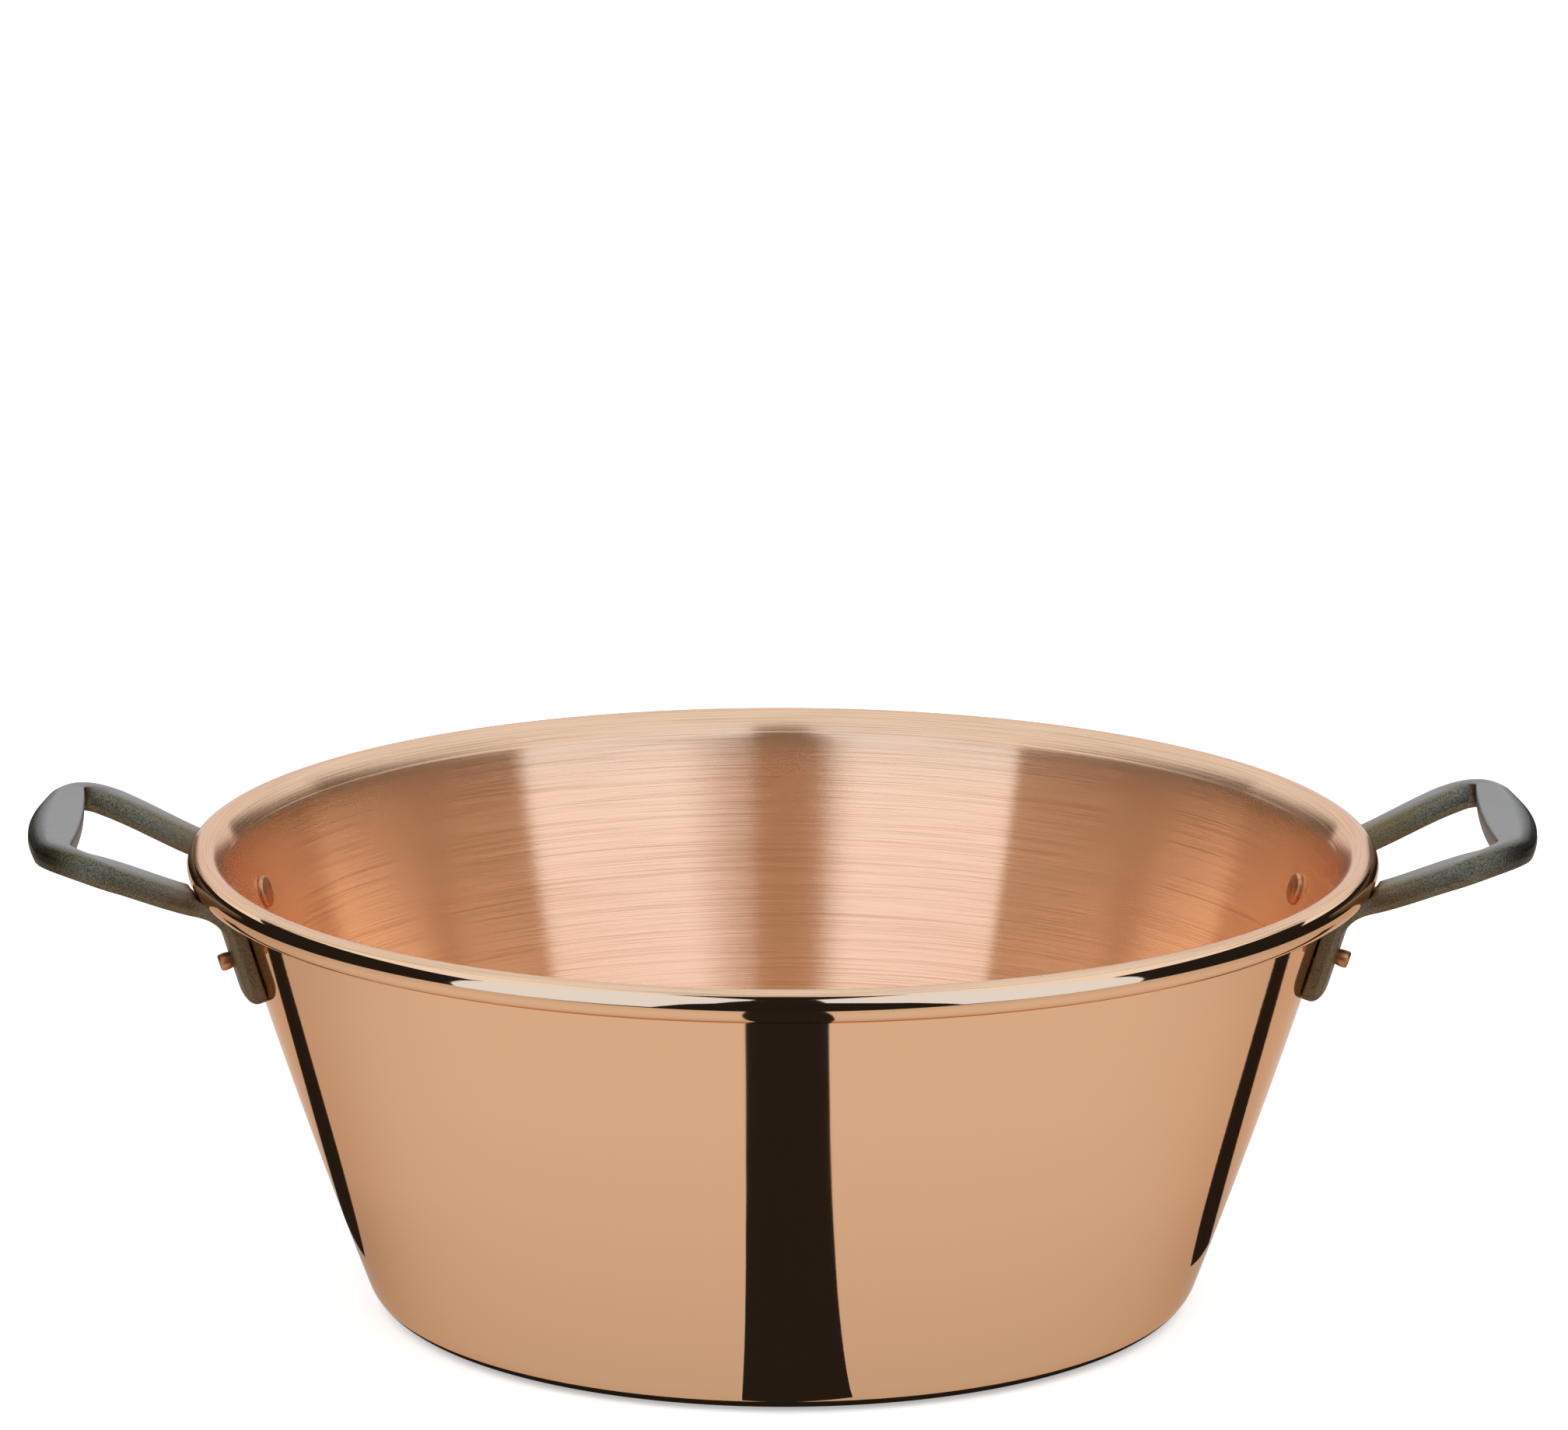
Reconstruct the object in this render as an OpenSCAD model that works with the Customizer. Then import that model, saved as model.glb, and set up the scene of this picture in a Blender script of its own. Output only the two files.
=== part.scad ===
// Jam pan: a spun copper bowl with a rolled rim and two cast handles, each held by two rivets.
// Millimetres, +Z up. The origin is the centre of the base on the table, the handles lie along X.

/* [Pan] */
// Outside diameter over the rolled rim
rim_d = 380; // [340:1:420]
// Height from the table to the top of the rim
pan_h = 150; // [130:1:180]
// Diameter of the flat of the base
base_flat_d = 243; // [200:1:270]
// Outside radius from the base up into the wall
base_r = 13; // [8:0.5:25]
// Thickness of the copper sheet
sheet_t = 1.2; // [0.8:0.1:1.6]
// Radius of the slight outward bow of the wall
wall_bow_r = 2100; // [1500:50:4000]

/* [Rim] */
// Diameter of the rolled edge
bead_d = 10.3; // [9:0.1:12]
// Radius by which the wall flares out into the roll
flare_r = 12; // [8:0.5:16]
// Lean of the sheet from upright where the flare meets the roll
flare_lean = 50; // [40:1:60]
// Slit left between the end of the roll and the wall
curl_gap = 0.5; // [0.4:0.1:1]

/* [Handles] */
// Reach of a handle beyond the edge of the rim
handle_reach = 50.5; // [44:0.5:60]
// Width of the grip in its middle
grip_w = 15.5; // [12:0.5:18]
// Thickness of the grip
grip_t = 9.2; // [7:0.1:11]
// Radius of the bowed outer edge of the grip
grip_bow_r = 160; // [120:5:300]
// Outer corner radius of the bail
corner_r = 23; // [18:0.5:26]
// Corner radius of the finger hole
hole_r = 2; // [1:0.5:4]
// Width of a leg
leg_w = 14.5; // [12:0.5:16]
// Thickness of a leg next to the pan
leg_t = 8.2; // [6.5:0.1:9]
// Distance between the two legs where they pass the rim
leg_spread = 72; // [64:1:80]
// Angle by which each leg turns outwards
leg_splay = 16.5; // [10:0.5:20]
// Depth of the leg's middle below the top of the rim, where it passes the rim
leg_drop = 10.6; // [9.5:0.1:13]
// Slope at which the leg leaves the pan
leg_slope = 18; // [12:0.5:24]
// Height of the grip's middle above the top of the rim
grip_rise = 5.6; // [2:0.1:12]

/* [Lugs] */
// Width of a lug
lug_w = 15.5; // [13:0.5:18]
// Thickness of a lug
lug_t = 6.4; // [5:0.1:8]
// Depth of the lug's lower end below the top of the rim
lug_drop = 42.7; // [39:0.1:48]
// Clearance between a lug and the wall
seat_gap = 0.15; // [0.1:0.05:0.3]
// Clearance between the casting and the underside of the rolled rim
bead_clear = 0.6; // [0.5:0.1:1.2]

/* [Rivets] */
// Diameter of the shank
shank_d = 5; // [4:0.1:6]
// Diameter of the head inside the pan
head_d = 10.4; // [8:0.1:13]
// Height of the head
head_t = 1.9; // [1.2:0.1:2.6]
// Length of the tail that stands out of the lug
tail_len = 3.9; // [2:0.1:5]
// Diameter of the tail at its swollen middle
tail_d = 5.7; // [5:0.1:7]
// Distance between the two rivets of a handle
rivet_spread = 76; // [68:1:84]
// Depth of the rivets below the top of the rim
rivet_drop = 26.6; // [24:0.1:29]
// Radial clearance of the shank in its holes
shank_gap = 0.1; // [0.05:0.05:0.2]

/* [Colours] */
copper = "peru";
iron = "dimgray";

/* [Hidden] */
$fn = 96;

// Centres and angles of the arcs in the pan's profile, as [radius from the axis, height]
bead_r = bead_d / 2;
bead_c = [rim_d / 2 - bead_r, pan_h - bead_r];
flare_c = bead_c + (flare_r - bead_r) * [cos(flare_lean), -sin(flare_lean)];
corner_c = [base_flat_d / 2, base_r];
wall_c = arc_centre(corner_c, wall_bow_r - base_r, flare_c, wall_bow_r - sheet_t + flare_r);
wall_lo = heading(corner_c - wall_c);
wall_hi = heading(flare_c - wall_c);
curl_side = flare_r - bead_r;
curl_reach = flare_r - sheet_t - curl_gap;
curl_end = 180 - flare_lean
    + acos((pow(curl_reach, 2) - pow(bead_r, 2) - pow(curl_side, 2)) / 2 / bead_r / curl_side);

// Heights and places that the handles and rivets take from the pan
rivet_z = pan_h - rivet_drop;
lug_z = pan_h - lug_drop;
lug_turn = asin(rivet_spread / 2 / wall_radius(rivet_z));
lug_end_r = lug_w / 2;
lug_top_z = pan_h - leg_drop - leg_t;
root_x = bead_c[0] + 1;
tip_x = rim_d / 2 + handle_reach;
level_x = tip_x - grip_w / 3;
root_z = pan_h - leg_drop;
grip_z = pan_h + grip_rise;

// Plan of the bail: bowed grip edge, leg edge and the corner arc that joins them
bow_c = [tip_x - grip_bow_r, 0];
hole_x = tip_x - grip_w;
half_leg = leg_w / 2 / cos(leg_splay);
corner_p = corner_place();
hole_p = [hole_x - hole_r, leg_y(hole_x - hole_r) - half_leg - hole_r / cos(leg_splay)];
bow_a = heading(corner_p - bow_c);

// Half sections of the casting: 1 at the top of a leg, which is the back of a lug
leg_half = [[0, 1], [0.5, 0.95], [0.84, 0.79], [1, 0.5], [0.98, -0.4], [0.8, -0.86], [0.42, -1], [0, -1]];
lug_half = [[0, 1], [0.5, 1], [0.94, 1], [1, 0.8], [1, -0.3], [0.84, -0.78], [0.45, -0.97], [0, -1]];

function heading(v) = atan2(v[1], v[0]);
function polar(r, a) = r * [cos(a), sin(a)];
function unit(v) = v / norm(v);
function blend(a, b, t) = a + (b - a) * t;

// Centre of the arc that lies ra from a and rb from b, on the side towards the axis
function arc_centre(a, ra, b, rb) =
    let (d = norm(b - a), along = (ra * ra - rb * rb + d * d) / 2 / d, u = (b - a) / d)
    a + u * along + [-u[1], u[0]] * sqrt(ra * ra - along * along);

// Outside of the wall at a height: its radius and its lean from upright
function wall_radius(z) = wall_c[0] + sqrt(pow(wall_bow_r, 2) - pow(z - wall_c[1], 2));
function wall_lean(z) = -asin((z - wall_c[1]) / wall_bow_r);

// Centre line of a leg in plan, and the height of the bail's middle
function leg_y(x) = leg_spread / 2 + (x - root_x) * tan(leg_splay);
function lift(x) =
    let (t = min(1, (x - root_x) / (level_x - root_x)), run = level_x - root_x)
    blend(root_z, grip_z, t * t * (3 - 2 * t)) + run * tan(leg_slope) * t * pow(1 - t, 2);
function incline(x) = (lift(x + 0.05) - lift(x - 0.05)) / 0.1;

// Centre of the outer corner arc, inside the leg's edge and the grip's bowed edge
function corner_place() =
    let (k = tan(leg_splay), y0 = leg_y(0) + half_leg - corner_r / cos(leg_splay), q = grip_bow_r - corner_r,
        b = k * y0 - bow_c[0], c = pow(bow_c[0], 2) + y0 * y0 - q * q,
        x = (-b + sqrt(b * b - (1 + k * k) * c)) / (1 + k * k))
    [x, y0 + k * x];

// Moves a point of the casting out of the wall and the rolled rim
function clear_z(r, z) =
    let (reach = bead_r + bead_clear, off = abs(r - bead_c[0]))
    off < reach && z < bead_c[1] + 1 ? min(z, bead_c[1] - sqrt(reach * reach - off * off)) : z;
function cleared(p) =
    let (r = norm([p[0], p[1]]), z = clear_z(r, p[2]), least = wall_radius(z) + seat_gap / cos(wall_lean(z)),
        grow = z < bead_c[1] ? max(1, least / r) : 1)
    [p[0] * grow, p[1] * grow, z];

// A ring of the casting: middle, direction across, direction of its top, half sizes and share of leg section
function ring(mid, across, top, w, h, leg) =
    let (half = [for (i = [0:7]) blend(lug_half[i], leg_half[i], leg)],
        whole = concat(half, [for (i = [6:-1:1]) [-half[i][0], half[i][1]]]))
    [for (p = whole) cleared(mid + across * w * p[0] + top * h * p[1])];

// Lug, from its rounded end up along the wall
function lug_ring(s) =
    let (z = lug_z + s * cos(wall_lean(lug_z)), lean = wall_lean(z),
        w = s < lug_end_r ? sqrt(pow(lug_end_r, 2) - pow(lug_end_r - s, 2)) : lug_end_r,
        t = lug_t * (s < lug_t ? 0.3 + 0.7 * sqrt(1 - pow(1 - s / lug_t, 2)) : 1),
        r = wall_radius(z) + seat_gap / cos(lean) + t / 2 * cos(lean))
    ring(on_turn(r, z - t / 2 * sin(lean)), side(), back(lean), w, t / 2, 0);
function on_turn(r, z) = [r * cos(lug_turn), r * sin(lug_turn), z];
function side() = [-sin(lug_turn), cos(lug_turn), 0];
function back(lean) = [-cos(lean) * cos(lug_turn), -cos(lean) * sin(lug_turn), sin(lean)];

// Bend from the lug into the leg, along a cubic curve
function bend_ring(t) =
    let (lean = wall_lean(lug_top_z),
        r = wall_radius(lug_top_z) + seat_gap / cos(lean) + lug_t / 2 * cos(lean),
        a = on_turn(r, lug_top_z - lug_t / 2 * sin(lean)),
        up = [sin(lean) * cos(lug_turn), sin(lean) * sin(lug_turn), cos(lean)],
        d = [root_x, leg_y(root_x), root_z],
        out = unit([1, tan(leg_splay), tan(leg_slope)]),
        pull = 0.4 * norm(d - a),
        b = a + up * pull, c = d - out * pull, s = 1 - t,
        mid = a * pow(s, 3) + b * 3 * s * s * t + c * 3 * s * t * t + d * pow(t, 3),
        along = unit((b - a) * s * s + (c - b) * 2 * s * t + (d - c) * t * t),
        across = unit(blend(side(), [0, 1, 0], t)), top = unit(cross(along, across)))
    ring(mid, across, top, blend(lug_end_r, half_leg, t), blend(lug_t, leg_t, t) / 2, t);

// Leg, corner and grip, between a point of the outer edge and one of the hole's edge
function bail_ring(o, i) =
    let (a = [i[0], i[1], lift(i[0])], b = [o[0], o[1], lift(o[0])], x = (o[0] + i[0]) / 2,
        t = min(1, (x - root_x) / (level_x - root_x)))
    ring((a + b) / 2, unit(b - a), unit([-incline(x), 0, 1]), norm(b - a) / 2, blend(leg_t, grip_t, t) / 2, 1);

leg_end = corner_p + polar(corner_r, 90 + leg_splay);
hole_end = hole_p + polar(hole_r, 90 + leg_splay);
rings = concat(
    [for (s = [0.3, 1, 2.2, 4, 6, 8, 12, 16, 20]) lug_ring(s)],
    [for (i = [0:8]) bend_ring(i / 8)],
    [for (i = [1:6]) let (t = i / 6)
        bail_ring(
            blend([root_x, leg_y(root_x) + half_leg], leg_end, t),
            blend([root_x, leg_y(root_x) - half_leg], hole_end, t)
        )],
    [for (i = [1:9]) let (t = i / 9)
        bail_ring(
            corner_p + polar(corner_r, blend(90 + leg_splay, bow_a, t)),
            hole_p + polar(hole_r, blend(90 + leg_splay, 0, t))
        )],
    [for (i = [1:5]) let (t = i / 5)
        bail_ring(bow_c + polar(grip_bow_r, bow_a * (1 - t)), [hole_x, hole_p[1] * (1 - t)])]
);

// Part of a ring between two radii and two angles
module arc_strip(c, r_in, r_out, a0, a1) {
    steps = ceil((a1 - a0) / 50);
    translate(c)
        intersection() {
            difference() {
                circle(r = r_out);
                circle(r = r_in);
            }
            polygon(concat([[0, 0]], [for (i = [0:steps]) polar(2 * r_out, blend(a0, a1, i / steps))]));
        }
}

// The sheet from the centre of the base to the end of the roll
module sheet_profile() {
    square([corner_c[0], sheet_t]);
    arc_strip(corner_c, base_r - sheet_t, base_r, -90, wall_lo);
    arc_strip(wall_c, wall_bow_r - sheet_t, wall_bow_r, wall_lo, wall_hi, $fn = 1440);
    arc_strip(flare_c, flare_r - sheet_t, flare_r, 180 - flare_lean, 180 + wall_hi);
    arc_strip(bead_c, bead_r - sheet_t, bead_r, curl_end - 360, 180 - flare_lean);
}

// Puts a thing on a rivet's axis: its zero at the outside of the wall, +Z outwards
module at_rivet(turn) {
    rotate([0, 0, turn])
        translate([wall_radius(rivet_z), 0, rivet_z])
            rotate([0, 90 + wall_lean(rivet_z), 0])
                children();
}

module shank_hole(turn) {
    at_rivet(turn)
        translate([0, 0, -3 * sheet_t])
            cylinder(d = shank_d + 2 * shank_gap, h = 3 * sheet_t + 3 * lug_t);
}

module pan_body() {
    color(copper)
        difference() {
            rotate_extrude($fn = 240)
                sheet_profile();
            for (turn = [lug_turn, -lug_turn, 180 - lug_turn, 180 + lug_turn])
                shank_hole(turn);
        }
}

// The bail with its two lugs, on the +X side
module casting() {
    n = len(rings[0]);
    far = [for (k = [len(rings) - 2:-1:0]) [for (p = rings[k]) [p[0], -p[1], p[2]]]];
    all = concat(rings, far);
    last = len(all) - 1;
    sides = [for (k = [0:last - 1]) for (j = [0:n - 1]) let (a = k * n + j, b = k * n + (j + 1) % n)
        each [[a, b, b + n], [a, b + n, a + n]]];
    caps = concat(
        [for (j = [1:n - 2]) [0, j + 1, j]],
        [for (j = [1:n - 2]) [last * n, last * n + j, last * n + j + 1]]
    );
    difference() {
        polyhedron(points = [for (r = all) each r], faces = concat(sides, caps));
        shank_hole(lug_turn);
        shank_hole(-lug_turn);
    }
}

module handle_right() {
    color(iron) casting();
}

module handle_left() {
    color(iron) mirror([1, 0, 0]) casting();
}

// Flat-domed head inside the pan, shank, and the tail swollen by the hammer
module rivet(turn) {
    seat = -sheet_t - shank_gap;
    tail = seat_gap + lug_t;
    at_rivet(turn)
        rotate_extrude()
            union() {
                polygon([
                    [0, seat - head_t], [head_d * 0.26, seat - head_t * 0.9],
                    [head_d * 0.42, seat - head_t * 0.58], [head_d / 2, seat - head_t * 0.3],
                    [head_d / 2, seat], [0, seat]
                ]);
                polygon([
                    [0, seat], [shank_d / 2, seat], [shank_d / 2, tail], [tail_d / 2, tail + tail_len * 0.45],
                    [tail_d / 2 - 0.1, tail + tail_len * 0.75], [shank_d / 2 - 0.05, tail + tail_len],
                    [0, tail + tail_len]
                ]);
            }
}

module rivet_right_rear() {
    color(copper) rivet(lug_turn);
}

module rivet_right_front() {
    color(copper) rivet(-lug_turn);
}

module rivet_left_rear() {
    color(copper) rivet(180 - lug_turn);
}

module rivet_left_front() {
    color(copper) rivet(180 + lug_turn);
}

pan_body();
handle_left();
handle_right();
rivet_left_front();
rivet_left_rear();
rivet_right_front();
rivet_right_rear();
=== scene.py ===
import math

import bpy
import numpy as np
from mathutils import Matrix


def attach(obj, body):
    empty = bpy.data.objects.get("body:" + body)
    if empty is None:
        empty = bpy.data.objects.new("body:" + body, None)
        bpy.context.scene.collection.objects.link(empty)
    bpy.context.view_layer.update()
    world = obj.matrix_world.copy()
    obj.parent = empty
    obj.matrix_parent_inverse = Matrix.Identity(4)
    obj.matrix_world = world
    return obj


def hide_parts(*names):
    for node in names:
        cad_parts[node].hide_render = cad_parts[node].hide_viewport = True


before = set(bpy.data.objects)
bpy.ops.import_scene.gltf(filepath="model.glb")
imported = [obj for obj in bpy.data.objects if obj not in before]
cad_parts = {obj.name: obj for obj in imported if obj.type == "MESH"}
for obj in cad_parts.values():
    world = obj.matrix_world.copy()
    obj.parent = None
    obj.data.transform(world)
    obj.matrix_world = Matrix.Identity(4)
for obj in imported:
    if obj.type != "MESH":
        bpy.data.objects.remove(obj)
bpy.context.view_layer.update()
scene = bpy.context.scene
mm = 0.001


# small helpers

def rgb(code):
    # sRGB hex to linear
    parts = [int(code[i:i + 2], 16) / 255 for i in (1, 3, 5)]
    return [c / 12.92 if c <= 0.04045 else ((c + 0.055) / 1.055) ** 2.4 for c in parts] + [1.0]


def polar(r, a):
    return np.array([r * math.cos(math.radians(a)), r * math.sin(math.radians(a))])


def heading(v):
    return math.degrees(math.atan2(v[1], v[0]))


def unit(v):
    return v / np.linalg.norm(v)


def arc(c, r, a0, a1, n):
    return [np.array(c) + polar(r, a) for a in np.linspace(a0, a1, n)]


def blend(a, b, s):
    return a + (b - a) * s


def ease(s):
    return s * s * (3 - 2 * s)


def meshObject(name, verts, faces, mats, smooth=True, matIndex=None):
    mesh = bpy.data.meshes.new(name)
    mesh.from_pydata([tuple(v) for v in verts], [], [tuple(int(i) for i in f) for f in faces])
    mesh.validate()
    for m in mats:
        mesh.materials.append(m)
    if matIndex is not None:
        mesh.polygons.foreach_set("material_index", matIndex)
    if smooth:
        mesh.shade_smooth()
    obj = bpy.data.objects.new(name, mesh)
    scene.collection.objects.link(obj)
    return obj


def node(tree, kind, links=None, **settings):
    n = tree.nodes.new(kind)
    for key, value in settings.items():
        if key.startswith("in_"):
            slot = key[3:]
            n.inputs[int(slot) if slot.isdigit() else slot.replace("_", " ")].default_value = value
        else:
            setattr(n, key, value)
    for socket, source in (links or {}).items():
        tree.links.new(source, n.inputs[socket])
    return n


def newMaterial(name):
    m = bpy.data.materials.new(name)
    m.use_nodes = True
    m.node_tree.nodes.clear()
    return m, m.node_tree


# pan: same arcs as the construction, in millimetres and degrees. the brushing starts brushEdge degrees
# round the roll from its outermost point, and the spinner's step lies stepRise mm inside the flare

pan = dict(rimD=380, panH=150, baseFlatD=243, baseR=13, sheetT=1.2, wallBowR=2100,
           beadD=10.3, flareR=20, flareLean=42, curlGap=0.5, brushEdge=50, stepRise=3, segments=320)


def arcCentre(a, ra, b, rb):
    d = np.linalg.norm(b - a)
    along = (ra * ra - rb * rb + d * d) / 2 / d
    u = (b - a) / d
    return a + u * along + np.array([-u[1], u[0]]) * math.sqrt(ra * ra - along * along)


beadR = pan["beadD"] / 2
beadC = np.array([pan["rimD"] / 2 - beadR, pan["panH"] - beadR])
flareC = beadC + polar(pan["flareR"] - beadR, -pan["flareLean"])
cornerC = np.array([pan["baseFlatD"] / 2, pan["baseR"]])
wallC = arcCentre(cornerC, pan["wallBowR"] - pan["baseR"],
                  flareC, pan["wallBowR"] - pan["sheetT"] + pan["flareR"])
wallLo, wallHi = heading(cornerC - wallC), heading(flareC - wallC)
# the roll's end stops curlGap short of the flare's underside
curlR, apart = pan["flareR"] - pan["sheetT"] - pan["curlGap"], pan["flareR"] - beadR
curlTurn = math.acos((curlR ** 2 - beadR ** 2 - apart ** 2) / (2 * beadR * apart))
curlEnd = 180 - pan["flareLean"] + math.degrees(curlTurn)


def wallRadius(z):
    return wallC[0] + math.sqrt(pan["wallBowR"] ** 2 - (z - wallC[1]) ** 2)


def wallLean(z):
    return -math.degrees(math.asin((z - wallC[1]) / pan["wallBowR"]))


def panProfile():
    # from the underside's middle up the outside and into the roll, back over it and down the inside;
    # the last number of each arc is how many points it has
    w, f, b, t = pan["wallBowR"], pan["flareR"], beadR, pan["sheetT"]
    lean = pan["flareLean"]
    outside = [np.array([x, 0.0]) for x in np.linspace(0, cornerC[0], 8)]
    outside += arc(cornerC, pan["baseR"], -90, wallLo, 18)[1:]
    outside += arc(wallC, w, wallLo, wallHi, 22)[1:]
    outside += arc(flareC, f - t, 180 + wallHi, 180 - lean, 9)[1:]
    outside += arc(beadC, b - t, 180 - lean, curlEnd - 360, 20)[1:]
    roll = arc(beadC, b, curlEnd - 360, pan["brushEdge"], 44)
    brushed = arc(beadC, b, pan["brushEdge"], 180 - lean, 16)[1:]
    brushed += arc(flareC, f, 180 - lean, 180 + wallHi, 14)[1:]
    flareEnd = len(outside) + len(roll) + len(brushed) - 1
    brushed += arc(wallC, w - t, wallHi, wallLo, 22)[1:]
    brushed += arc(cornerC, pan["baseR"] - t, wallLo, -90, 16)[1:]
    brushed += [np.array([x, t]) for x in np.linspace(cornerC[0], 0, 16)[1:]]
    return outside + roll, brushed, flareEnd


def lathe(name, points, finish, segments, mats):
    # the first and last points are on the axis; along is the way from the first one in mm, over the sheet
    n = len(points)
    walked = np.r_[0, np.cumsum([np.linalg.norm(points[i + 1] - points[i]) for i in range(n - 1)])]
    ang = np.linspace(0, 2 * math.pi, segments, endpoint=False)
    ring = np.array([[math.cos(a), math.sin(a)] for a in ang])
    verts, faces, index = [(0, 0, points[0][1] * mm)], [], []
    for p in points[1:-1]:
        verts += [(p[0] * c * mm, p[0] * s * mm, p[1] * mm) for c, s in ring]
    verts.append((0, 0, points[-1][1] * mm))
    last = len(verts) - 1
    for j in range(segments):
        k = (j + 1) % segments
        faces.append((0, 1 + k, 1 + j))
        index.append(finish[0])
    for i in range(n - 3):
        a = 1 + i * segments
        for j in range(segments):
            k = (j + 1) % segments
            faces.append((a + j, a + k, a + segments + k, a + segments + j))
            index.append(finish[i + 1])
    a = 1 + (n - 3) * segments
    for j in range(segments):
        k = (j + 1) % segments
        faces.append((a + j, a + k, last))
        index.append(finish[n - 2])
    obj = meshObject(name, verts, faces, mats, matIndex=index)
    along = obj.data.attributes.new("along", "FLOAT", "POINT")
    values = [walked[0]] + [w for w in walked[1:-1] for _ in range(segments)] + [walked[-1]]
    along.data.foreach_set("value", values)
    return obj


# copper: sizes and depths of the marks in mm; a pit has a radius of pitR, the next one is about pitMm away

copper = dict(sheet="#e9c19e", wornAndPaintedShade="#dfba9b", shade="#c8a17f", pit="#8a5a3c", edge="#f0d8c4",
              wornEdge="#e4cdc3", lineMm=0.25, lineDeep=0.03, scratchMm=0.29, scratchDeep=0.004,
              stepDeep=0.06, turnMm=60, chatterMm=1.5, waveMm=45, hazeMm=28.57, pitMm=26, pitR=0.35,
              mirror=(0.03, 0.06), brushedRough=0.17)


def ringSpace(tree, across):
    # the brush and the spinning lathe run round the pan: cells turnMm long and across mm wide
    place = node(tree, "ShaderNodeTexCoord")
    xyz = node(tree, "ShaderNodeSeparateXYZ", {0: place.outputs["Object"]})
    along = node(tree, "ShaderNodeAttribute", attribute_name="along")
    turns = 1000 / copper["turnMm"]
    x = node(tree, "ShaderNodeMath", {0: xyz.outputs["X"]}, operation="MULTIPLY", in_1=turns)
    y = node(tree, "ShaderNodeMath", {0: xyz.outputs["Y"]}, operation="MULTIPLY", in_1=turns)
    z = node(tree, "ShaderNodeMath", {0: along.outputs["Fac"]}, operation="MULTIPLY", in_1=1 / across)
    return node(tree, "ShaderNodeCombineXYZ", {0: x.outputs[0], 1: y.outputs[0], 2: z.outputs[0]})


def polishedCopper():
    # mirror-polished copper: a long waviness bends the reflections, fine lathe chatter frays their edges
    m, tree = newMaterial("copper_mirror_polished")
    place = node(tree, "ShaderNodeTexCoord")
    wave = node(tree, "ShaderNodeTexNoise", {"Vector": place.outputs["Object"]},
                in_Scale=1000 / copper["waveMm"], in_Detail=2.0)
    chatter = node(tree, "ShaderNodeTexNoise", {"Vector": ringSpace(tree, copper["chatterMm"]).outputs[0]},
                   in_Scale=1.0, in_Detail=1.0)
    long = node(tree, "ShaderNodeBump", {"Height": wave.outputs["Fac"]}, in_Strength=0.05, in_Distance=0.001)
    fine = node(tree, "ShaderNodeBump", {"Height": chatter.outputs["Fac"], "Normal": long.outputs[0]},
                in_Strength=0.1, in_Distance=0.0001)
    haze = node(tree, "ShaderNodeTexNoise", {"Vector": place.outputs["Object"]},
                in_Scale=1000 / copper["hazeMm"], in_Detail=4.0)
    rough = node(tree, "ShaderNodeMapRange", {"Value": haze.outputs["Fac"]},
                 in_3=copper["mirror"][0], in_4=copper["mirror"][1])
    shader = node(tree, "ShaderNodeBsdfPrincipled",
                  {"Normal": fine.outputs[0], "Roughness": rough.outputs[0]},
                  in_Base_Color=rgb(copper["sheet"]), in_Metallic=1.0, in_Specular_Tint=rgb(copper["edge"]))
    node(tree, "ShaderNodeOutputMaterial", {"Surface": shader.outputs[0]})
    return m


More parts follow.
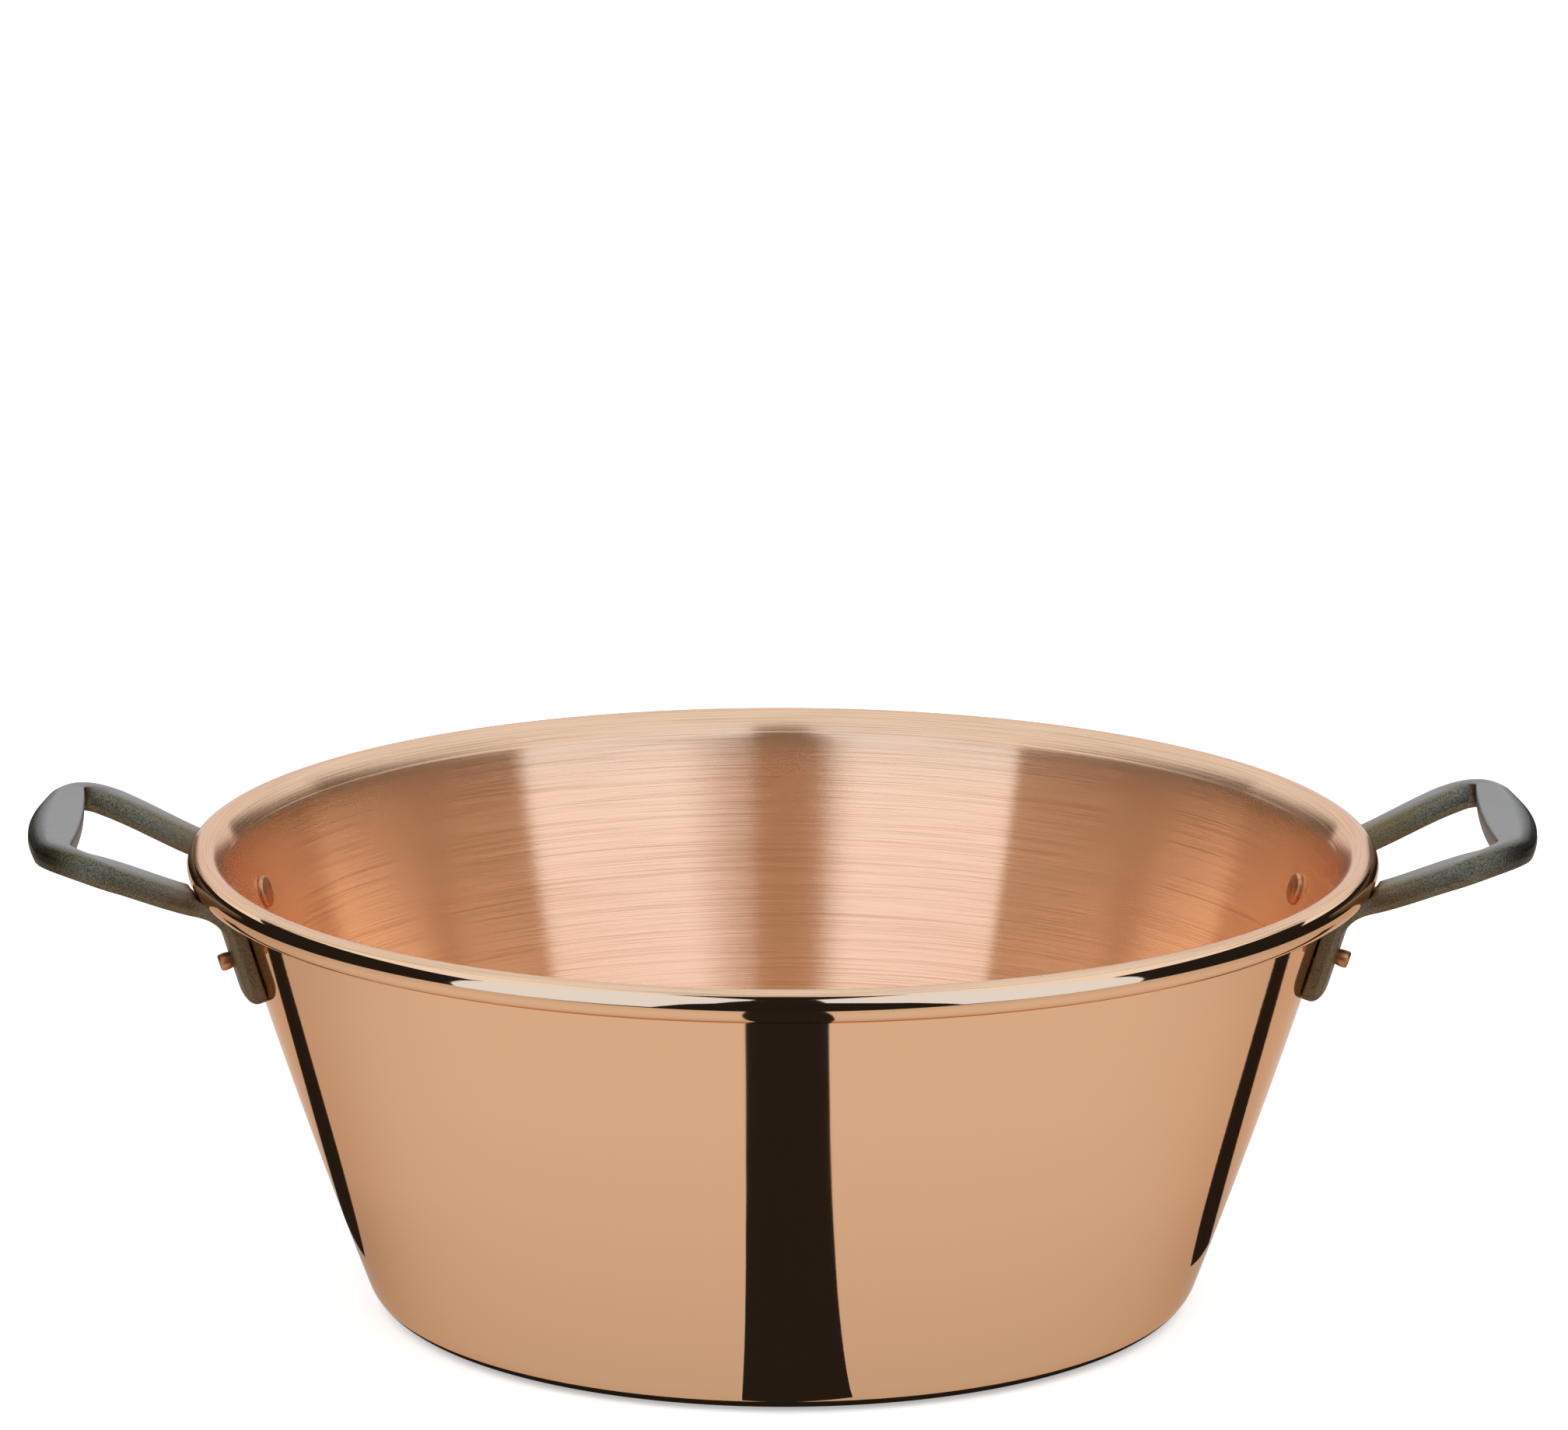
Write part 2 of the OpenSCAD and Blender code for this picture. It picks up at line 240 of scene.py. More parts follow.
def brushedCopper(stepAt):
    # copper brushed on the lathe: hair-fine rings pull every highlight out up and down the wall,
    # a few coarser scratches among them stay visible. real brush lines are about 0.1 mm wide, too fine
    # to show here, so both are drawn coarser
    m, tree = newMaterial("copper_lathe_brushed")
    lines = node(tree, "ShaderNodeTexNoise", {"Vector": ringSpace(tree, copper["lineMm"]).outputs[0]},
                 in_Scale=1.0, in_Detail=1.0)
    scratches = node(tree, "ShaderNodeTexNoise", {"Vector": ringSpace(tree, copper["scratchMm"]).outputs[0]},
                     in_Scale=1.0, in_Detail=2.0, in_Roughness=0.6)
    tone = node(tree, "ShaderNodeValToRGB", {"Fac": scratches.outputs["Fac"]})
    tone.color_ramp.elements[0].position = 0.32
    tone.color_ramp.elements[0].color = rgb(copper["shade"])
    tone.color_ramp.elements[1].position = 0.52
    tone.color_ramp.elements[1].color = rgb(copper["wornAndPaintedShade"])
    place = node(tree, "ShaderNodeTexCoord")
    spots = node(tree, "ShaderNodeTexVoronoi", {"Vector": place.outputs["Object"]},
                 in_Scale=1000 / copper["pitMm"])
    pit = node(tree, "ShaderNodeMath", {0: spots.outputs["Distance"]}, operation="LESS_THAN",
               in_1=copper["pitR"] / copper["pitMm"])
    color = node(tree, "ShaderNodeMix", {"Factor": pit.outputs[0], 6: tone.outputs[0]}, data_type="RGBA",
                 in_7=rgb(copper["pit"]))
    # the spinner's tool left a fine step, a millimetre wide, where the flare meets the wall
    along = node(tree, "ShaderNodeAttribute", attribute_name="along")
    off = node(tree, "ShaderNodeMath", {0: along.outputs["Fac"]}, operation="SUBTRACT", in_1=stepAt)
    step = node(tree, "ShaderNodeMapRange", {"Value": off.outputs[0]}, interpolation_type="SMOOTHSTEP",
                in_1=-0.5, in_2=0.5)
    edge = node(tree, "ShaderNodeBump", {"Height": step.outputs[0]}, in_Strength=1.0,
                in_Distance=copper["stepDeep"] * mm)
    coarse = node(tree, "ShaderNodeBump", {"Height": scratches.outputs["Fac"], "Normal": edge.outputs[0]},
                  in_Strength=1.0, in_Distance=copper["scratchDeep"] * mm)
    fine = node(tree, "ShaderNodeBump", {"Height": lines.outputs["Fac"], "Normal": coarse.outputs[0]},
                in_Strength=1.0, in_Distance=copper["lineDeep"] * mm)
    turn = node(tree, "ShaderNodeTangent", direction_type="RADIAL", axis="Z")
    shader = node(tree, "ShaderNodeBsdfPrincipled",
                  {"Base Color": color.outputs[2], "Normal": fine.outputs[0], "Tangent": turn.outputs[0]},
                  in_Metallic=0.9, in_Roughness=copper["brushedRough"], in_Anisotropic=1.0,
                  in_Anisotropic_Rotation=0.25, in_Specular_Tint=rgb(copper["wornEdge"]))
    node(tree, "ShaderNodeOutputMaterial", {"Surface": shader.outputs[0]})
    return m


smoothPart, brushedPart, flareEnd = panProfile()
profile = smoothPart + brushedPart
wallFrom = sum(np.linalg.norm(profile[i + 1] - profile[i]) for i in range(flareEnd))
polished, brushed = polishedCopper(), brushedCopper(wallFrom - pan["stepRise"])
finish = [0] * (len(smoothPart) - 1) + [1] * len(brushedPart)
panShell = lathe("pan_shell", profile, finish, pan["segments"], [polished, brushed])
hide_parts("pan_body")
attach(panShell, "root")
print("pan built:", len(panShell.data.polygons), "faces")


# handles: the construction's bail and lugs, with finer sections, in millimetres and degrees.
# the legs' roots lie rootOut outside the roll's middle, what lies up to tuck above that middle goes under
# the roll, and ridgeCut is the share of a side that the rounding of a ridge takes

handle = dict(reach=50.5, gripW=15.5, gripT=9.2, gripBowR=160, gripBulge=1.5, cornerR=23, holeR=2,
              legW=14.5, legT=8.2, legSpread=72, legSplay=16.5, legDrop=10.6, legSlope=18, gripRise=5.6,
              rootOut=1, bendPull=0.4, lugW=15.5, lugT=6.4, lugTip=0.3, lugDrop=42.7,
              seatGap=0.15, beadClear=0.35, tuck=1, ridgeCut=0.14)
rivets = dict(shankD=5, headD=10.4, headT=1.9, tailLen=3.9, tailD=5.7, spread=76, drop=26.6, shankGap=0.1)

# sections from the top's middle round to the bottom's, as shares of half the width and half the thickness;
# the grip's isn't the same on both sides: its outer edge is the rounder one
legHalf = [[0, 1], [0.4, 0.98], [0.66, 0.9], [0.88, 0.4], [1, -0.25], [0.84, -0.82], [0.42, -1], [0, -1]]
lugHalf = [[0, 1], [0.5, 1], [0.94, 1], [1, 0.8], [1, -0.3], [0.84, -0.78], [0.45, -0.97], [0, -1]]


def whole(half):
    return np.array(half + [[-u, v] for u, v in half[-2:0:-1]], float)


legSection, lugSection = whole(legHalf), whole(lugHalf)
gripSection = np.array([[0, 1], [0.32, 0.93], [0.72, 0.62], [0.97, 0.12], [0.97, -0.4], [0.8, -0.86],
                        [0.42, -1], [0, -1], [-0.42, -1], [-0.82, -0.88], [-1, -0.5], [-1, 0.7],
                        [-0.9, 0.97], [-0.45, 1]])


def softened(section, share):
    # corners cut twice: flats stay flat, the ridges between them are rounded
    for _ in range(2):
        after = np.roll(section, -1, axis=0)
        section = np.stack([blend(section, after, share), blend(after, section, share)], 1).reshape(-1, 2)
    return section


legFine, lugFine, gripFine = (softened(s, handle["ridgeCut"]) for s in (legSection, lugSection, gripSection))

# the right handle's places: its legs start under the roll and level out near the tip
tanSplay = math.tan(math.radians(handle["legSplay"]))
cosSplay = math.cos(math.radians(handle["legSplay"]))
tipX = pan["rimD"] / 2 + handle["reach"]
rootX, levelX = beadC[0] + handle["rootOut"], tipX - handle["gripW"] / 3
rootZ, gripZ = pan["panH"] - handle["legDrop"], pan["panH"] + handle["gripRise"]
rivetZ, lugZ = pan["panH"] - rivets["drop"], pan["panH"] - handle["lugDrop"]
lugTurn = math.asin(rivets["spread"] / 2 / wallRadius(rivetZ))
lugTopZ = pan["panH"] - handle["legDrop"] - handle["legT"]
bowC = np.array([tipX - handle["gripBowR"], 0.0])
holeX = tipX - handle["gripW"]
halfLeg = handle["legW"] / 2 / cosSplay


def legY(x):
    return handle["legSpread"] / 2 + (x - rootX) * tanSplay


def lift(x):
    # the bail's height: it leaves the roll at legSlope and ends level at the grip
    run = levelX - rootX
    s = min(1, (x - rootX) / run)
    hump = run * math.tan(math.radians(handle["legSlope"])) * s * (1 - s) ** 2
    return blend(rootZ, gripZ, ease(s)) + hump


def cornerPlace():
    # centre of the outer corner, which touches the leg's outer edge and the grip's bow
    k, q = tanSplay, handle["gripBowR"] - handle["cornerR"]
    y0 = legY(0) + halfLeg - handle["cornerR"] / cosSplay
    b, c = k * y0 - bowC[0], bowC[0] ** 2 + y0 * y0 - q * q
    x = (-b + math.sqrt(b * b - (1 + k * k) * c)) / (1 + k * k)
    return np.array([x, y0 + k * x])


cornerP = cornerPlace()
holePX = holeX - handle["holeR"]
holeP = np.array([holePX, legY(holePX) - halfLeg - handle["holeR"] / cosSplay])
bowA = heading(cornerP - bowC)


def cleared(p):
    # keeps the casting clear of the rolled rim and the wall
    r, z = math.hypot(p[0], p[1]), p[2]
    reach, off = beadR + handle["beadClear"], abs(r - beadC[0])
    if off < reach and z < beadC[1] + handle["tuck"]:
        z = min(z, beadC[1] - math.sqrt(reach * reach - off * off))
    if z < beadC[1]:
        least = wallRadius(z) + handle["seatGap"] / math.cos(math.radians(wallLean(z)))
        grow = max(1, least / r)
        return np.array([p[0] * grow, p[1] * grow, z])
    return np.array([p[0], p[1], z])


def ring(mid, across, top, w, h, section):
    return [cleared(mid + across * w * u + top * h * v) for u, v in section]


def onTurn(r, z):
    return np.array([r * math.cos(lugTurn), r * math.sin(lugTurn), z])


side = np.array([-math.sin(lugTurn), math.cos(lugTurn), 0.0])


def lugRing(s):
    # s mm up the wall from the lug's rounded end
    z = lugZ + s * math.cos(math.radians(wallLean(lugZ)))
    lean = math.radians(wallLean(z))
    endR = handle["lugW"] / 2
    w = math.sqrt(endR ** 2 - (endR - s) ** 2) if s < endR else endR
    th = handle["lugT"]
    if s < th:
        th *= handle["lugTip"] + (1 - handle["lugTip"]) * math.sqrt(1 - (1 - s / th) ** 2)
    r = wallRadius(z) + handle["seatGap"] / math.cos(lean) + th / 2 * math.cos(lean)
    back = onTurn(-math.cos(lean), math.sin(lean))
    return ring(onTurn(r, z - th / 2 * math.sin(lean)), side, back, w, th / 2, lugFine)


def bendRing(s):
    # from the lug's top, 0, under the roll and out to the leg's root, 1
    lean = math.radians(wallLean(lugTopZ))
    r = wallRadius(lugTopZ) + handle["seatGap"] / math.cos(lean) + handle["lugT"] / 2 * math.cos(lean)
    a = onTurn(r, lugTopZ - handle["lugT"] / 2 * math.sin(lean))
    up = onTurn(math.sin(lean), math.cos(lean))
    d = np.array([rootX, legY(rootX), rootZ])
    out = unit(np.array([1, tanSplay, math.tan(math.radians(handle["legSlope"]))]))
    pull = handle["bendPull"] * np.linalg.norm(d - a)
    b, c, q = a + up * pull, d - out * pull, 1 - s
    mid = a * q ** 3 + b * 3 * q * q * s + c * 3 * q * s * s + d * s ** 3
    along = unit((b - a) * q * q + (c - b) * 2 * q * s + (d - c) * s * s)
    across = unit(blend(side, np.array([0, 1.0, 0]), s))
    return ring(mid, across, unit(np.cross(along, across)), blend(handle["lugW"] / 2, halfLeg, s),
                blend(handle["lugT"], handle["legT"], s) / 2, blend(lugFine, legFine, s))


def bailRing(o, i, grip):
    # between a point of the outer edge and one of the inner edge; grip 0 is the leg's section, 1 the grip's
    a, b = np.array([i[0], i[1], lift(i[0])]), np.array([o[0], o[1], lift(o[0])])
    x = (o[0] + i[0]) / 2
    s = min(1, (x - rootX) / (levelX - rootX))
    slope = (lift(x + 0.05) - lift(x - 0.05)) / 0.1
    return ring((a + b) / 2, unit(b - a), unit(np.array([-slope, 0, 1])), np.linalg.norm(b - a) / 2,
                blend(handle["legT"], handle["gripT"], s) / 2, blend(legFine, gripFine, grip))


# rings along each stretch, and where the first rings lie on the lug, in mm from its end
ringSteps = dict(bend=22, leg=18, corner=24, grip=16)
lugStations = (0.06, 0.2, 0.5, 1, 1.6, 2.2, 3, 4, 5, 6, 7, 8, 10, 12, 14, 16, 18, 20)
legFrom = len(lugStations) + ringSteps["bend"] + 1
cornerFrom = legFrom + ringSteps["leg"]


def shares(stretch):
    return [i / ringSteps[stretch] for i in range(1, ringSteps[stretch] + 1)]


def handleRings():
    # the rear half of the right handle, from its lug's end to the middle of its grip
    outer, inner = handle["cornerR"], handle["holeR"]
    legDir = 90 + handle["legSplay"]
    outerRoot, outerEnd = np.array([rootX, legY(rootX) + halfLeg]), cornerP + polar(outer, legDir)
    innerRoot, innerEnd = np.array([rootX, legY(rootX) - halfLeg]), holeP + polar(inner, legDir)
    out = [lugRing(s) for s in lugStations]
    out += [bendRing(s) for s in [0] + shares("bend")]
    for s in shares("leg"):
        out.append(bailRing(blend(outerRoot, outerEnd, s), blend(innerRoot, innerEnd, s), 0))
    for s in shares("corner"):
        out.append(bailRing(cornerP + polar(outer, blend(legDir, bowA, s)),
                            holeP + polar(inner, blend(legDir, 0, s)), ease(s)))
    for s in shares("grip"):
        edge = np.array([holeX - handle["gripBulge"] * (1 - (1 - s) ** 2), holeP[1] * (1 - s)])
        out.append(bailRing(bowC + polar(handle["gripBowR"], bowA * (1 - s)), edge, 1))
    return out


rings = handleRings()
rings += [[p * [1, -1, 1] for p in r] for r in rings[-2::-1]]


# share of painted sheen, a lighter colour for the light from above on the tops, and how high on the section
# it starts; on the legs it begins legSkip rings up and grows over legOver rings
sheenShare = dict(pad=0.9, padAbove=0.94, leg=0.75, legAbove=0.8, legSkip=3, legOver=10)


def sheenRound(k):
    # painted sheen round ring k: the lighter top of the grip and the lighter tops of the legs
    k = min(k, len(rings) - 1 - k)
    pad = sheenShare["pad"] * min(1, max(0, k - cornerFrom) / ringSteps["corner"]) ** 2
    leg = sheenShare["leg"] * min(1, max(0, k - legFrom - sheenShare["legSkip"]) / sheenShare["legOver"])
    return [max(pad * (v > sheenShare["padAbove"]), leg * (v > sheenShare["legAbove"]))
            for _, v in (legFine if k < cornerFrom else gripFine)]


def casting(name, flip, mat):
    n = len(rings[0])
    verts = [(p[0] * flip * mm, p[1] * mm, p[2] * mm) for r in rings for p in r]
    faces = []
    for k in range(len(rings) - 1):
        for j in range(n):
            a, b = k * n + j, k * n + (j + 1) % n
            faces.append((a, b, b + n, a + n)[::flip])
    faces.append(tuple(range(n))[::-flip])
    last = (len(rings) - 1) * n
    faces.append(tuple(range(last, last + n))[::flip])
    obj = meshObject(name, verts, faces, [mat])
    # painted sheen: the tops of the grip and legs are lighter, for the light from above; the rest keeps the
    # skin of the sand mould
    topSheen = obj.data.attributes.new("topSheen", "FLOAT", "POINT")
    topSheen.data.foreach_set("value", [share for k in range(len(rings)) for share in sheenRound(k)])
    return obj


# sizes and distances from the pan's axis in mm; painted shade darkens the grip's outer end to
# gripPaintedShade of its colour
iron = dict(skin="#726b5f", olive="#6b6148", panWarmTint="#786242", topSheen="#7a7068", grainMm=0.55,
            grainDeep=0.6, lumpMm=6, lumpDeep=0.3, patchMm=25, warmFrom=198, warmTo=214,
            gripFrom=226, gripTo=239, gripPaintedShade=0.4, roughness=0.36)


def castIron():
    # sand-cast iron under a thin varnish: a fine sandy skin that glitters on the ridges, with a painted warm
    # reflection of the copper near the pan. real casting sand is about 0.2 mm, too fine to show here, so the
    # grain is drawn coarser
    m, tree = newMaterial("cast_iron_varnished")
    place = node(tree, "ShaderNodeTexCoord")
    grain = node(tree, "ShaderNodeTexNoise", {"Vector": place.outputs["Object"]},
                 in_Scale=1000 / iron["grainMm"], in_Detail=3.0, in_Roughness=0.6)
    lumps = node(tree, "ShaderNodeTexNoise", {"Vector": place.outputs["Object"]},
                 in_Scale=1000 / iron["lumpMm"])
    patches = node(tree, "ShaderNodeTexNoise", {"Vector": place.outputs["Object"]},
                   in_Scale=1000 / iron["patchMm"], in_Detail=3.0)
    patchMask = node(tree, "ShaderNodeMapRange", {"Value": patches.outputs["Fac"]}, in_1=0.4, in_2=0.65)
    xyz = node(tree, "ShaderNodeSeparateXYZ", {0: place.outputs["Object"]})
    flat = node(tree, "ShaderNodeCombineXYZ", {0: xyz.outputs["X"], 1: xyz.outputs["Y"]})
    off = node(tree, "ShaderNodeVectorMath", {0: flat.outputs[0]}, operation="LENGTH")
    # painted warm reflection of the copper: brown specks in the grain, full within warmFrom mm of the axis,
    # gone beyond warmTo
    near = node(tree, "ShaderNodeMapRange", {"Value": off.outputs["Value"]},
                in_1=iron["warmTo"] * mm, in_2=iron["warmFrom"] * mm)
    warmSpecks = node(tree, "ShaderNodeMath", {0: near.outputs[0], 1: grain.outputs["Fac"]}, operation="MULTIPLY")
    topSheen = node(tree, "ShaderNodeAttribute", attribute_name="topSheen")
    tone = node(tree, "ShaderNodeMix", {"Factor": patchMask.outputs[0]}, data_type="RGBA",
                in_6=rgb(iron["skin"]), in_7=rgb(iron["olive"]))
    # the skin is darker in the grain's pits and lighter on its tops
    pits = node(tree, "ShaderNodeMapRange", {"Value": grain.outputs["Fac"]},
                in_1=0.38, in_2=0.6, in_3=0.55, in_4=1.35)
    pitted = node(tree, "ShaderNodeVectorMath", {0: tone.outputs[2], "Scale": pits.outputs[0]},
                  operation="SCALE")
    # painted shade: the outer side of the grip is darkened, for the dark room that it faces
    wornAndPaintedShade = node(tree, "ShaderNodeMapRange", {"Value": off.outputs["Value"]},
                in_1=iron["gripFrom"] * mm, in_2=iron["gripTo"] * mm, in_3=1.0, in_4=iron["gripPaintedShade"])
    gripShaded = node(tree, "ShaderNodeVectorMath", {0: pitted.outputs[0], "Scale": wornAndPaintedShade.outputs[0]},
                  operation="SCALE")
    warmed = node(tree, "ShaderNodeMix", {"Factor": warmSpecks.outputs[0], 6: gripShaded.outputs[0]},
                 data_type="RGBA", in_7=rgb(iron["panWarmTint"]))
    # painted sheen: the tops of the grip and legs get a lighter colour
    color = node(tree, "ShaderNodeMix", {"Factor": topSheen.outputs["Fac"], 6: warmed.outputs[2]},
                 data_type="RGBA", in_7=rgb(iron["topSheen"]))
    # the grain is weaker under the painted sheen
    grit = node(tree, "ShaderNodeMapRange", {"Value": topSheen.outputs["Fac"]}, in_3=0.5, in_4=0.12)
    soft = node(tree, "ShaderNodeBump", {"Height": lumps.outputs["Fac"]},
                in_Strength=0.2, in_Distance=iron["lumpDeep"] * mm)
    bump = node(tree, "ShaderNodeBump",
                {"Height": grain.outputs["Fac"], "Normal": soft.outputs[0], "Strength": grit.outputs[0]},
                in_Distance=iron["grainDeep"] * mm)
    shader = node(tree, "ShaderNodeBsdfPrincipled",
                  {"Base Color": color.outputs[2], "Normal": bump.outputs[0]},
                  in_Metallic=1.0, in_Roughness=iron["roughness"])
    node(tree, "ShaderNodeOutputMaterial", {"Surface": shader.outputs[0]})
    return m


ironMat = castIron()
for name, flip in (("right", 1), ("left", -1)):
    obj = casting("casting_" + name, flip, ironMat)
    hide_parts("handle_" + name)
    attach(obj, "root")
print("handles built:", len(rings), "rings")


# rivets: their hammer marks are about 2 mm across

rivetWire = dict(dark="#ad7650", light="#cf946b", marksMm=2.38, marksDeep=0.1, roughness=0.4)


def rivetCopper():
    # drawn copper wire, hammered: duller than the sheet, with a satin tool-marked face
    m, tree = newMaterial("copper_hammered_rivet")
    place = node(tree, "ShaderNodeTexCoord")
    marks = node(tree, "ShaderNodeTexNoise", {"Vector": place.outputs["Object"]},
                 in_Scale=1000 / rivetWire["marksMm"], in_Detail=3.0)
    bump = node(tree, "ShaderNodeBump", {"Height": marks.outputs["Fac"]},
                in_Strength=0.3, in_Distance=rivetWire["marksDeep"] * mm)
    tone = node(tree, "ShaderNodeValToRGB", {"Fac": marks.outputs["Fac"]})
    tone.color_ramp.elements[0].position = 0.35
    tone.color_ramp.elements[0].color = rgb(rivetWire["dark"])
    tone.color_ramp.elements[1].position = 0.6
    tone.color_ramp.elements[1].color = rgb(rivetWire["light"])
    shader = node(tree, "ShaderNodeBsdfPrincipled",
                  {"Base Color": tone.outputs[0], "Normal": bump.outputs[0]},
                  in_Metallic=1.0, in_Roughness=rivetWire["roughness"])
    node(tree, "ShaderNodeOutputMaterial", {"Surface": shader.outputs[0]})
    return m


def rivetProfile():
    # radius and place along the axis, which starts on the wall's outside: head, shank, spread tail
    seat, foot = -pan["sheetT"] - rivets["shankGap"], handle["seatGap"] + handle["lugT"]
    hr, sr, tr = (rivets[k] / 2 for k in ("headD", "shankD", "tailD"))
    ht, tl = rivets["headT"], rivets["tailLen"]
    # a nearly flat face inside a thin raised rim
    head = [(x * hr, seat - ht * y) for x, y in (
        (0, 1), (0.3, 0.99), (0.55, 0.94), (0.68, 0.87), (0.74, 0.81), (0.8, 0.8), (0.86, 0.78), (0.93, 0.66),
        (0.98, 0.45), (1, 0.2), (0.995, 0))] + [(sr, seat)]
    # the tail bulges from the hammering: cuts from its radius, at shares of its length
    tail = [(sr, foot), (sr + 0.12, foot + 0.3)]
    tail += [(tr - cut, foot + tl * s)
             for cut, s in ((0.08, 0.25), (0, 0.5), (0.06, 0.78), (0.25, 0.92), (0.6, 0.985))]
    tail += [(tr * 0.5, foot + tl), (0, foot + tl)]
    return [np.array(p, float) for p in head + tail]


def makeRivet(name, turn, mat):
    lean = math.radians(wallLean(rivetZ))
    axis = np.array([math.cos(lean) * math.cos(turn), math.cos(lean) * math.sin(turn), -math.sin(lean)])
    across = np.array([-math.sin(turn), math.cos(turn), 0.0])
    up = np.cross(across, axis)
    place = np.array([wallRadius(rivetZ) * math.cos(turn), wallRadius(rivetZ) * math.sin(turn), rivetZ])
    points, n = rivetProfile(), 40
    verts, faces = [place + axis * points[0][1]], []
    for r, h in points[1:-1]:
        for j in range(n):
            a = 2 * math.pi * j / n
            verts.append(place + axis * h + across * r * math.cos(a) - up * r * math.sin(a))
    verts.append(place + axis * points[-1][1])
    rows = len(points) - 2
    for j in range(n):
        k = (j + 1) % n
        faces.append((0, 1 + j, 1 + k))
        faces.append((len(verts) - 1, 1 + (rows - 1) * n + k, 1 + (rows - 1) * n + j))
        for i in range(rows - 1):
            a = 1 + i * n
            faces.append((a + j, a + n + j, a + n + k, a + k))
    obj = meshObject(name, [v * mm for v in verts], faces, [mat])
    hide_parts(name.replace("stud", "rivet"))
    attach(obj, "root")


rivetMat = rivetCopper()
for name, turn in (("stud_right_rear", lugTurn), ("stud_right_front", -lugTurn),
                   ("stud_left_rear", math.pi - lugTurn), ("stud_left_front", math.pi + lugTurn)):
    makeRivet(name, turn, rivetMat)
print("rivets built")


# camera: solved from the ellipses of rim and base

view = dict(place=(0, -2.69667, 0.82396), pitch=13.2102, yaw=0.0059, roll=0.1064,
            lens=199.878, sensor=36, turn=-1.0)
# the photo was taken a degree off the square to the handles: camera and studio turn together
turned = Matrix.Rotation(math.radians(view["turn"]), 4, "Z")


def placed(right, up, back, place):
    # right, up and back are the columns of a camera's or a lamp's matrix
    rows = [[*row, p] for row, p in zip(np.array([right, up, back]).T, place)]
    return turned @ Matrix(rows + [[0, 0, 0, 1]])


def makeCamera():
    p, y, r = (math.radians(view[k]) for k in ("pitch", "yaw", "roll"))
    ahead = np.array([math.sin(y) * math.cos(p), math.cos(y) * math.cos(p), -math.sin(p)])
    right = np.array([math.cos(y), -math.sin(y), 0.0])
    up = np.cross(right, ahead)
    right, up = math.cos(r) * right + math.sin(r) * up, math.cos(r) * up - math.sin(r) * right
    cam = bpy.data.cameras.new("camera")
    cam.lens, cam.sensor_width, cam.clip_end = view["lens"], view["sensor"], 60
    obj = bpy.data.objects.new("camera", cam)
    obj.matrix_world = placed(right, up, -ahead, view["place"])
    scene.collection.objects.link(obj)
    scene.camera = obj


makeCamera()
print("camera set")


# studio: pale floor, a soft box either side of the camera, a white ceiling and backdrop, cards on the table.
# metres here, apart from the slits' corners; glows are radiances, the lamps' powers as Blender counts them

studio = dict(floorHalf=9.0, floorGlow=0.45, cool=(0.84, 0.92, 1.0, 1),
              boxGlow=1.56, boxCool=(0.605, 0.771, 1.0, 1), boxTop=1.25, boxSlope=1.3,
              boxLean=0.14, leanTo=1.7,
              ceilingGlow=1.25, backdropGlow=1.3, slitGlow=0.022, slitWarm=(1.0, 0.9, 0.8, 1), slitZ=0.0012,
              skyPower=3.9, skyAngle=120, keySize=1.3, keyGlow=1.2,
              bounceD=0.33, bounceZ=0.148, bouncePower=1.75, bounceCopper=(1.0, 0.6, 0.34))
# the card's rings, as radius and glow; it is cut straight across front metres before the pan's axis, and
# its glow dips to either side, dipAt degrees round from the front
card = dict(warm=(1.0, 0.89, 0.8, 1), front=0.56, z=0.0008, points=120,
            rings=((0.13, 0.66), (0.16, 0.72), (0.2, 0.78), (0.25, 0.82),
                   (0.3, 0.83), (0.4, 0.78), (0.55, 0.72), (0.95, 0.7)),
            dipRight=0.1, dipLeft=0.17, dipNear=1.8, nearR=0.18, dipAt=105, dipWide=28)


def emitter(name, color, strength):
    # the glow attribute dims a panel towards an edge
    m, tree = newMaterial(name)
    glow = node(tree, "ShaderNodeAttribute", attribute_name="glow")
    power = node(tree, "ShaderNodeMath", {0: glow.outputs["Fac"]}, operation="MULTIPLY", in_1=strength)
    e = node(tree, "ShaderNodeEmission", {"Strength": power.outputs[0]}, in_Color=color)
    node(tree, "ShaderNodeOutputMaterial", {"Surface": e.outputs[0]})
    return m


def panel(name, rows, glow, color, strength, closed=False):
    # rows of equally many points, a glow value for each row or for each point, seen only in reflections
    n = len(rows[0])
    verts = [p for row in rows for p in row]
    faces = [(i * n + j, i * n + (j + 1) % n, (i + 1) * n + (j + 1) % n, (i + 1) * n + j)
             for i in range(len(rows) - 1) for j in range(n if closed else n - 1)]
    obj = meshObject(name, verts, faces, [emitter(name + "_glow", color, strength)], smooth=False)
    layer = obj.data.attributes.new("glow", "FLOAT", "POINT")
    layer.data.foreach_set("value", glow if len(glow) == len(verts) else [g for g in glow for _ in range(n)])
    obj.visible_camera = obj.visible_diffuse = obj.visible_shadow = obj.visible_transmission = False
    obj.matrix_world = turned


def makeFloor():
    # seamless white paper, lit a little from below so that it burns out as in the photo
    m, tree = newMaterial("floor_pale_paper")
    shader = node(tree, "ShaderNodeBsdfPrincipled", in_Base_Color=(0.88, 0.88, 0.88, 1), in_Roughness=0.9,
                  in_Emission_Color=(1, 1, 1, 1), in_Emission_Strength=studio["floorGlow"])
    node(tree, "ShaderNodeOutputMaterial", {"Surface": shader.outputs[0]})
    h = studio["floorHalf"]
    corners = [(-h, -h, 0), (h, -h, 0), (h, h, 0), (-h, h, 0)]
    floor = meshObject("floor", corners, [(0, 1, 2, 3)], [m], smooth=False)
    floor.visible_glossy = False


